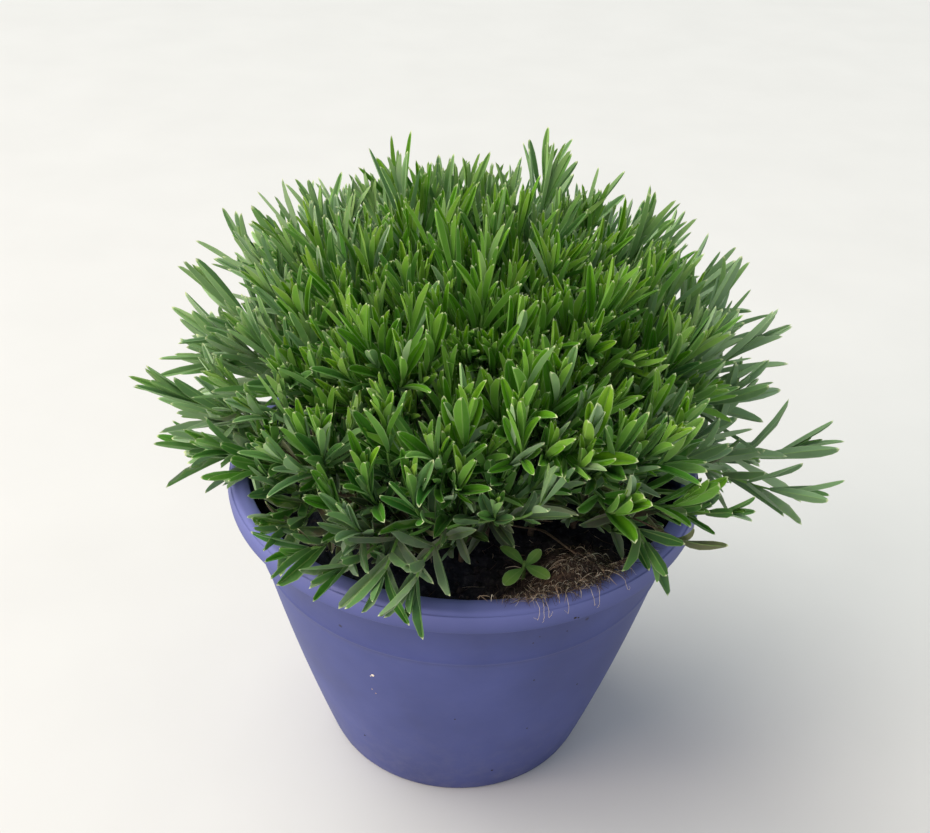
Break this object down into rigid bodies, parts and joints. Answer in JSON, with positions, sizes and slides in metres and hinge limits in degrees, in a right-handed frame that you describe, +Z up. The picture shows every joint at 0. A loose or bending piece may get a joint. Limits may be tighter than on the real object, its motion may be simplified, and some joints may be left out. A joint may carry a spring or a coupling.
{
  "type": "potted lavender",
  "caption": "Leafy lavender clump, not yet in flower, in a round tapered plastic growing pot filled with potting mix.",
  "frame": {"origin": "centre of the pot's base, on the surface that the pot stands on", "axes": "+Z up along the pot's axis; +X to the right and +Y away from whoever looks at the pot's front, where the soil shows"},
  "size_m": [0.3774, 0.3296, 0.3564],
  "materials": {
    "pot_plastic": "matte",
    "potting_mix": "matte",
    "foliage": "satin",
    "young_foliage": "satin"
  },
  "bodies": {
    "root": {"leafy_stem_01": "foliage", "leafy_stem_02": "foliage", "leafy_stem_03": "foliage", "leafy_stem_04": "foliage", "leafy_stem_05": "foliage", "leafy_stem_06": "foliage", "leafy_stem_07": "foliage", "leafy_stem_08": "foliage", "leafy_stem_09": "foliage", "leafy_stem_10": "foliage", "leafy_stem_11": "foliage", "leafy_stem_12": "foliage", "leafy_stem_13": "foliage", "leafy_stem_14": "foliage", "leafy_stem_15": "foliage", "leafy_stem_16": "foliage", "leafy_stem_17": "foliage", "leafy_stem_18": "foliage", "leafy_stem_19": "foliage", "leafy_stem_20": "foliage", "leafy_stem_21": "foliage", "leafy_stem_22": "foliage", "leafy_stem_23": "foliage", "leafy_stem_24": "foliage", "leafy_stem_25": "foliage", "leafy_stem_26": "foliage", "leafy_stem_27": "foliage", "leafy_stem_28": "foliage", "leafy_stem_29": "foliage", "leafy_stem_30": "foliage", "leafy_stem_31": "foliage", "leafy_stem_32": "foliage", "leafy_stem_33": "foliage", "leafy_stem_34": "foliage", "leafy_stem_35": "foliage", "leafy_stem_36": "foliage", "leafy_stem_37": "foliage", "leafy_stem_38": "foliage", "leafy_stem_39": "foliage", "leafy_stem_40": "foliage", "pot": "pot_plastic", "soil": "potting_mix", "young_shoot": "young_foliage"}
  },
  "joints": []
}
